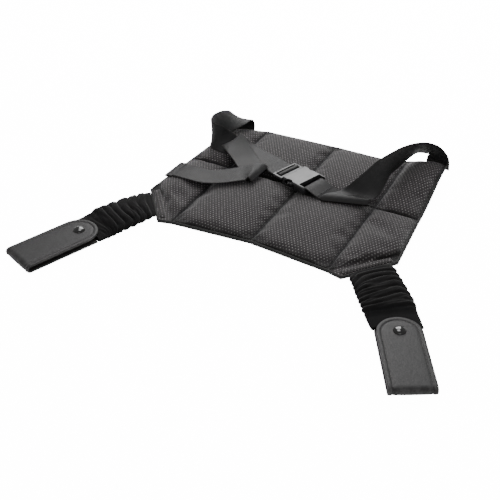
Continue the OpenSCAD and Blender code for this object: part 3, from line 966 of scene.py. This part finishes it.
# Each turned part of the snap: its body, the face it is measured from, and its (radius, height) outline
snap = {
    "cap": ("cover", "top", [
        (1.6, -2.9), (1.7, 0.1), (7.2, 0.12), (7.75, 0.2), (8.0, 0.5), (7.95, 0.8), (7.6, 1.3), (6.9, 1.95),
        (5.9, 2.65), (4.6, 3.25), (3.1, 3.68), (1.5, 3.92), (0.3, 3.98)]),
    "socket": ("cover", "top", [
        (2.95, -5.0), (2.95, -5.5), (3.3, -5.6), (5.4, -5.55), (5.9, -5.2), (6.0, -4.2), (5.9, -3.1),
        (2.95, -3.1)]),
    "stud": ("flap", "base", [
        (5.9, 0.02), (6.0, 0.5), (5.6, 0.95), (3.0, 1.0), (2.3, 1.6), (2.25, 3.0), (2.6, 3.9), (2.5, 4.5),
        (1.6, 4.7), (0.2, 4.7)]),
    "rivet": ("flap", "ground", [
        (0.2, 0.03), (4.6, 0.05), (5.7, 0.15), (6.0, 0.3), (5.9, 0.4), (1.8, 0.42), (1.8, 3.38)]),
}


def makeSnap(side):
    centre = loopPoint(side, loop["snap"], 0, 0)
    faces = {"top": loop["low"] + 4*loop["leather"] + loop["gap"], "base": loop["low"] + 2*loop["leather"],
             "ground": 0.0}
    sides = 48
    for part, (body, face, profile) in snap.items():
        rings = []
        for r, z in profile:
            for k in range(sides):
                a = 2*math.pi*k/sides
                rings.append(Vector((centre.x + r*math.cos(a), centre.y + r*math.sin(a), faces[face] + z)))
        faceList = ringFaces(len(profile), sides)
        obj = makePiece(f"{side}Snap{part.capitalize()}", rings, faceList, snapGloss, sharp=40)
        settle(obj, [f"{side}_snap_{part}"], f"{side}_{body}")


def makeLoop(side):
    outer = loop["gap"]/2 + 1.5*loop["leather"]
    inner = loop["gap"]/2 + 0.5*loop["leather"]
    makeLayer(side, f"{side}LoopLeather", outer, False, loop["border"], leather,
              [f"{side}_flap_base", f"{side}_flap_fold", f"{side}_cover"])
    makeLayer(side, f"{side}LoopLining", inner, True, loop["plain"], leatherBack,
              [f"{side}_flap_lining", f"{side}_cover_lining"])
    addStitches(f"{side}CoverStitches", coverStitchPath(side), f"{side}_cover", f"{side}_cover_stitches",
                pitch=3.3, length=2.5, radius=0.33)
    makeSnap(side)


for side in hands:
    makeLoop(side)
print("stage: leather loops")


# ---------- webbing ----------
# A station is the strap's middle, and the heading and slope of its width; where the strap is creased,
# a last value gives half the crease's length, and the width lies along the crease
strap = {
    "half": 19, "thick": 1.4, "step": 2.6,
    "left": [
        (-157, 128, 5.5, 200, 0), (-157.5, 131, 14, 196, 4), (-159, 131, 23, 190, 8),
        (-161, 121, 30, 184, 18), (-166, 104, 33, 184, 34), (-170, 86, 34.5, 188, 52),
        (-173, 68, 35, 200, 72), (-170, 51, 35, 110, 80), (-158, 44, 33, 95, 62),
        (-144, 48, 26.5, 88, 38), (-128, 52, 19.2, 80, 12), (-108, 49, 17.4, 76, 2),
        (-80, 41, 16.8, 73, 0), (-52, 33, 16.2, 71, 0), (-36, 28, 15, 70, 0), (-24.5, 23.8, 14.9, 70, 0),
        (-21.5, 22.8, 17.5, 70, 0), (-21.9, 22.9, 21.8, 70, 0)],
    "out": [
        (-23.4, 23.4, 22.6, 70, 0), (-26.2, 24.4, 22.4, 70, 0), (-28.4, 25.2, 19.5, 70, 0),
        (-31, 26.1, 16.9, 70, 0), (-38, 28.7, 16.8, 70, 0), (-58, 36, 18.3, 71, 0),
        (-84, 43, 18.9, 74, 0), (-110, 50, 22.6, 76, 0), (-131.5, 49.5, 29.2, 58, 18)],
    "back": [
        (-131.5, 49.5, 31, 58, 18), (-120, 40, 29, 52, 8), (-98, 24, 23.5, 50, 0), (-76, 6, 20.6, 50, 0),
        (-58, -4.5, 19.7, 88, 0, 24.5)],
    "end": [
        (-58, -4.5, 21.5, 88, 0, 24.5), (-80, -19, 22.6, 122, 0), (-100, -33, 20.6, 114, 0),
        (-124, -44, 18.9, 98, 0), (-150, -45, 18.4, 90, 0), (-170, -42.5, 16, 92, 0),
        (-184, -41, 12.8, 96, 0)],
    "bar": [
        (43, 0.6, 16.4, 73, 0), (36, 2.4, 14.4, 71, 0), (28, 5, 12.4, 70, 0), (23.6, 6.4, 13.4, 70, 0),
        (22.4, 6.9, 18, 70, 0), (22.9, 6.6, 22.3, 70, 0)],
    "lead": [
        (26, 5.5, 22.9, 70, 0), (30, 4, 22.6, 70, 0), (38, 1.5, 20.4, 72, 0), (45, 0, 18.2, 74, 0),
        (80.5, -11, 15.8, 17.1, 0, 34)],
    "run": [
        (80.5, -11, 18.2, 197, 0, 34), (92, 9, 21.8, 182, 4, 24), (106, 29, 36, 152, 50),
        (109, 51, 40, 188, 64), (114, 75, 44, 244, 78), (122.5, 97, 47, 290, 78),
        (132.5, 121, 47.5, 316, 64), (143, 139, 46, 318, 50), (155.5, 144.5, 43, 322, 42),
        (163, 145.5, 36, 334, 28), (164, 147.4, 25, 348, 8), (164, 148, 15, 352, 4)],
    # share of the width, share of half the thickness
    "section": [(0.0, 0.25), (0.015, 0.8), (0.05, 1.0), (0.16, 0.94), (0.33, 0.92), (0.5, 0.92), (0.67, 0.92),
                (0.84, 0.94), (0.95, 1.0), (0.985, 0.8), (1.0, 0.25)],
    # where each end starts and stops following the strap's lift, in metres
    "leftTurn": [(-0.158, 0.134, 0.015), (-0.158, 0.112, 0.015)],
    "rightTurn": [(0.160, 0.152, 0.03), (0.160, 0.122, 0.03)],
}


# The strap's two edges at each station
def stationEdges(stations, swap=False):
    places = [Vector(s[:3]) for s in stations]
    edges = []
    for i, s in enumerate(stations):
        across = direction(s[3], s[4])
        half = s[5] if len(s) > 5 else strap["half"]
        if len(s) < 6:
            along = (places[min(i + 1, len(places) - 1)] - places[max(i - 1, 0)]).normalized()
            across = (across - along*across.dot(along)).normalized()
        pair = [places[i] - across*half, places[i] + across*half]
        edges.append(pair[::-1] if swap else pair)
    return edges


# A turn of the strap over a crease, between two runs that meet at it
def creaseTurn(before, after):
    a, b = before[-1], after[0]
    crease = (a[1] - a[0]).normalized()
    travel = (a[0] + a[1] - before[-2][0] - before[-2][1])
    out = (travel - crease*travel.dot(crease)).normalized()
    return [(p + q)/2 + out*0.9 for p, q in zip(a, b)]


def smoothEdges(edges, step):
    gaps = [max((q[0] - p[0]).length, (q[1] - p[1]).length, 0.5) for p, q in zip(edges, edges[1:])]
    last = len(edges) - 1

    def slope(i, e):
        before = (edges[i][e] - edges[i - 1][e])/gaps[i - 1] if i else None
        after = (edges[i + 1][e] - edges[i][e])/gaps[i] if i < last else None
        if before is None or after is None:
            return before or after
        return (before*gaps[i] + after*gaps[i - 1])/(gaps[i - 1] + gaps[i])

    rows = []
    for i, gap in enumerate(gaps):
        parts = max(4, math.ceil(gap/step))
        slopes = [(slope(i, e)*gap, slope(i + 1, e)*gap) for e in (0, 1)]
        for k in range(parts):
            t = k/parts
            rows.append([edges[i][e]*(2*t**3 - 3*t**2 + 1) + slopes[e][0]*(t**3 - 2*t**2 + t)
                         + edges[i + 1][e]*(3*t**2 - 2*t**3) + slopes[e][1]*(t**3 - t**2) for e in (0, 1)])
    rows.append(edges[-1])
    return rows


def makeStrap(name, edges, nodes):
    rows = smoothEdges(edges, strap["step"])
    half = strap["thick"]/2
    section = [(share, thick*half) for share, thick in strap["section"]]
    section += [(share, -rise) for share, rise in reversed(section)]
    rings, lay, at = [], [], 0.0
    for i, (a, b) in enumerate(rows):
        before, after = rows[max(i - 1, 0)], rows[min(i + 1, len(rows) - 1)]
        along = ((after[0] + after[1]) - (before[0] + before[1])).normalized()
        normal = along.cross((b - a).normalized()).normalized()
        if i:
            at += ((a + b) - (rows[i - 1][0] + rows[i - 1][1])).length/2
        for share, rise in section:
            wave = 0.18*ripple((share*1.6, at*0.03, len(name)))
            rings.append(a.lerp(b, share) + normal*(rise + wave))
            lay.append(((share - 0.5)*2*strap["half"], at))
    obj = makePiece(name, rings, ringFaces(len(rows), len(section)), webbing, lay)
    settle(obj, nodes)
    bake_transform(obj)
    print(f"  {name}: {at:.0f} mm long")
    return rows


def makeWebbing():
    leftRun, out, back, end = (stationEdges(strap[key]) for key in ("left", "out", "back", "end"))
    edges = leftRun + out + [creaseTurn(out, back)] + back + [creaseTurn(back, end)] + end
    rows = makeStrap("leftWebbing", edges, ["left_webbing", "webbing_tail"])
    bar, lead = stationEdges(strap["bar"]), stationEdges(strap["lead"])
    run = stationEdges(strap["run"], swap=True)
    edges = bar + lead + [creaseTurn(lead, run)] + run
    makeStrap("rightWebbing", edges, ["right_webbing"])
    return rows


leftRows = makeWebbing()


# The turned-up end of the tail: along the strap from its end, and up
hem = {
    "section": [(-1.6, 0), (-1.3, 1.0), (-0.4, 1.5), (1.2, 1.55), (6, 1.4), (10.5, 1.2), (11.5, 0.9),
                (11.3, 0.4), (-0.2, 0.4), (-0.4, -0.9), (11.0, -0.95), (11.3, -1.5), (10, -1.9), (1, -2.0),
                (-1.2, -1.4)],
    "steps": 20,
}


def makeHem():
    a, b = leftRows[-1]
    inward = ((leftRows[-5][0] + leftRows[-5][1]) - (a + b)).normalized()
    across = (b - a).normalized()
    up = across.cross(inward).normalized()
    up = up if up.z > 0 else -up
    section, count = hem["section"], hem["steps"]
    rings, lay = [], []
    for i in range(count):
        share = i/(count - 1)
        p = a.lerp(b, share) + across*(share - 0.5)*0.6
        for x, z in section:
            rings.append(p + inward*x + up*z)
            lay.append(((share - 0.5)*2*strap["half"], x))
    obj = makePiece("tailHem", rings, ringFaces(count, len(section)), webbing, lay, sharp=60)
    settle(obj, ["tail_hem"], "back_strap")


makeHem()


def makeBoxStitch():
    centre, across, along = Vector((45, 0, 19.0)), direction(74), direction(-16, -5)
    rows = [[centre + along*shift + across*s for s in (-17.5, 0, 17.5)] for shift in (-0.6, 0.9)]
    addStitches("boxStitch", rows, "back_strap", "box_stitch", pitch=2.3, length=2.2, radius=0.5)


makeBoxStitch()
print("stage: webbing")


# ---------- buckle ----------
buckle = {"at": (-3, 16, 13.5), "turn": -20, "wide": 48, "tall": 12, "wall": 2.2}


def bucklePoint(u, v, z):
    c, s = math.cos(math.radians(buckle["turn"])), math.sin(math.radians(buckle["turn"]))
    x, y, base = buckle["at"]
    return Vector((x + u*c - v*s, y + u*s + v*c, base + z))


# A rounded outline in the buckle's plane, corners turned with the given radius
def roundedOutline(corners, radius, steps=6):
    points = []
    count = len(corners)
    for i, corner in enumerate(corners):
        p, before, after = Vector(corner), Vector(corners[i - 1]), Vector(corners[(i + 1) % count])
        r = radius[i] if isinstance(radius, (list, tuple)) else radius
        a, b = (before - p).normalized(), (after - p).normalized()
        for k in range(steps + 1):
            t = k/steps
            points.append(p + a*r*(1 - t)**2 + b*r*t**2)
    return points


# The outline moved in by a distance, along its own normals
def insetOutline(points, distance):
    count = len(points)
    area = sum(points[i - 1].x*points[i].y - points[i].x*points[i - 1].y for i in range(count))
    moved = []
    for i, p in enumerate(points):
        along = (points[(i + 1) % count] - points[i - 1]).normalized()
        moved.append(p + Vector((-along.y, along.x))*distance*(1 if area > 0 else -1))
    return moved


# A moulded plate: its outline carried through (inset, height) steps, closed above and below
def mouldedMesh(name, outlinePoints, profile):
    points = []
    for inset, z in profile:
        points += [bucklePoint(p.x, p.y, z) for p in insetOutline(outlinePoints, inset)]
    return makePiece(name, points, ringFaces(len(profile), len(outlinePoints)), bucklePlastic, sharp=38)


def plate(name, corners, radius, low, high, edge=0.6):
    profile = [(edge*1.4, low), (edge*0.5, low + edge*0.25), (0.0, low + edge), (0.0, high - edge),
               (edge*0.35, high - edge*0.3), (edge*1.3, high)]
    return mouldedMesh(name, roundedOutline(corners, radius), profile)


def rectangle(u0, u1, v0, v1):
    return [(u0, v0), (u1, v0), (u1, v1), (u0, v1)]


# Cuts or joins the second piece into the first, and takes it out of the scene
def combine(obj, other, operation):
    step = obj.modifiers.new("cut", "BOOLEAN")
    step.operation = operation
    step.solver = "EXACT"
    step.object = other
    result = bpy.data.meshes.new_from_object(obj.evaluated_get(bpy.context.evaluated_depsgraph_get()))
    obj.modifiers.remove(step)
    obj.data = result
    bpy.data.objects.remove(other)


# Takes a plate out of a piece, or joins it on
def fit(obj, *plateValues, operation="DIFFERENCE"):
    combine(obj, plate(*plateValues), operation)


def finishPlastic(obj, node, body):
    mesh = obj.data
    work = bmesh.new()
    work.from_mesh(mesh)
    bmesh.ops.remove_doubles(work, verts=work.verts, dist=0.00002)
    bmesh.ops.dissolve_degenerate(work, edges=work.edges, dist=0.00002)
    work.to_mesh(mesh)
    work.free()
    mesh.shade_smooth()
    mesh.set_sharp_from_angle(angle=math.radians(38))
    rounding = obj.modifiers.new("edges", "BEVEL")
    rounding.width = 0.25*mm
    rounding.segments = 2
    rounding.limit_method = "ANGLE"
    rounding.angle_limit = math.radians(50)
    settle(obj, [node], body)


def makeHousing():
    tall, wide, wall = buckle["tall"], buckle["wide"], buckle["wall"]
    profile = [(1.5, 0.0), (0.6, 0.15), (0.2, 0.6), (0.0, 1.4), (0.0, tall - 2.6), (0.25, tall - 1.5),
               (0.8, tall - 0.7), (1.7, tall - 0.2), (3.0, tall)]
    shape = roundedOutline(rectangle(-12, 33, -wide/2, wide/2), [4, 6, 6, 4])
    obj = mouldedMesh("buckleHousing", shape, profile)
    inner = wide/2 - wall
    fit(obj, "cave", rectangle(-16, 16, -inner, inner), 2.0, wall, tall - wall, 1.0)
    for s in (-1, 1):
        low, high = sorted((s*(inner - 3), s*(wide/2 + 5)))
        fit(obj, "window", rectangle(-6, 13, low, high), 1.5, wall, tall - wall, 0.5)
        # a round bite on each side, where the prong is pressed
        turns = [2*math.pi*k/40 for k in range(40)]
        circle = [Vector((3 + 8*math.cos(a), s*(wide/2 + 4) + 8*math.sin(a))) for a in turns]
        bite = mouldedMesh("bite", circle, [(0.1, -2), (0.0, -1.8), (0.0, tall + 1), (0.1, tall + 1.2)])
        combine(obj, bite, "DIFFERENCE")
    fit(obj, "slot", rectangle(20.5, 27, -20.5, 20.5), 1.2, -2, tall + 3, 0.1)
    fit(obj, "recess", rectangle(20.2, 40, -20.5, 20.5), 1.2, 8.2, tall + 4, 0.5)
    finishPlastic(obj, "buckle_housing", "back_strap")


def makeFrame():
    obj = plate("buckleFrame", rectangle(-33, -13.5, -23, 23), 2.2, 4.0, 8.0, 0.8)
    for u in (-29.5, -21.5):
        fit(obj, "slot", rectangle(u, u + 4, -20, 20), 0.9, 2, 10, 0.1)
    fit(obj, "tongue", rectangle(-15, 12, -5, 5), 1.2, 4.6, 7.4, 0.5, operation="UNION")
    for s in (-1, 1):
        low, high = sorted((s*11.6, s*18.4))
        fit(obj, "root", rectangle(-14.6, -11, low, high), 0.8, 4.2, 7.8, 0.4, operation="UNION")
    # grip ribs across the outer bar
    for v in range(-15, 16, 5):
        fit(obj, "rib", rectangle(-32.4, -30.1, v - 0.9, v + 0.9), 0.4, 7.6, 8.35, 0.25, operation="UNION")
    finishPlastic(obj, "buckle_frame", "back_strap")


def makeProng(name, node, s):
    turns = [math.radians(8 + k*20) for k in range(9)]
    head = [(4 + 8.2*math.cos(a), 14.9 + 8.2*math.sin(a)) for a in turns]
    shape = [(-10.6, 15.0), (-3.0, 15.0), (4.0, 14.9), (11.2, 15.4)] + head + [(-5.2, 18.2), (-10.6, 18.2)]
    points = [Vector((x, s*y)) for x, y in shape]
    if s < 0:
        points.reverse()
    profile = [(0.7, 4.2), (0.2, 4.4), (0.0, 4.9), (0.0, 7.1), (0.2, 7.6), (0.7, 7.8)]
    obj = mouldedMesh(name, points, profile)
    finishPlastic(obj, node, name[:-5] + "_prong")


makeHousing()
makeFrame()
makeProng("frontProng", "front_prong", -1)
makeProng("rearProng", "rear_prong", 1)
print("stage: buckle")
